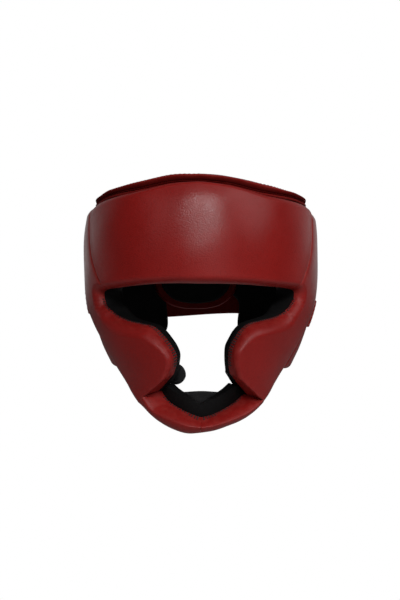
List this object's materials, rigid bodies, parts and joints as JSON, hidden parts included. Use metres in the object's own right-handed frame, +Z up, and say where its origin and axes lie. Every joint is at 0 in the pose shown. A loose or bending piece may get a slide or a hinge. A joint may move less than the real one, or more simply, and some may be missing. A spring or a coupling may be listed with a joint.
{
  "type": "sparring headgear",
  "caption": "Padded red leather sparring headgear with black lining: brow, cheek, ear and chin pads round a T-shaped face opening, padded crown, rear tongue, closing strap and chin strap.",
  "frame": {"origin": "inside of the crown on its vertical axis, where the top of the head sits", "axes": "+Z up, -Y the way the face looks, +X the viewer's right"},
  "size_m": [0.2312, 0.2488, 0.2417],
  "materials": {
    "red_leather": "satin",
    "black_lining": "matte",
    "black_web": "matte"
  },
  "bodies": {
    "root": {"forehead_pad": "red_leather", "forehead_lining": "black_lining", "cheek_pad_left": "red_leather", "cheek_lining_left": "black_lining", "ear_pad_left": "red_leather", "ear_lining_left": "black_lining", "chin_pad_left": "red_leather", "chin_lining_left": "black_lining", "cheek_pad_right": "red_leather", "cheek_lining_right": "black_lining", "ear_pad_right": "red_leather", "ear_lining_right": "black_lining", "chin_pad_right": "red_leather", "chin_lining_right": "black_lining", "crown_layer": "red_leather", "crown_panel": "red_leather", "nape_tongue": "red_leather", "nape_lining": "black_lining", "rear_strap": "red_leather", "chin_strap": "black_web", "chin_strap_tab": "black_web"}
  },
  "joints": []
}
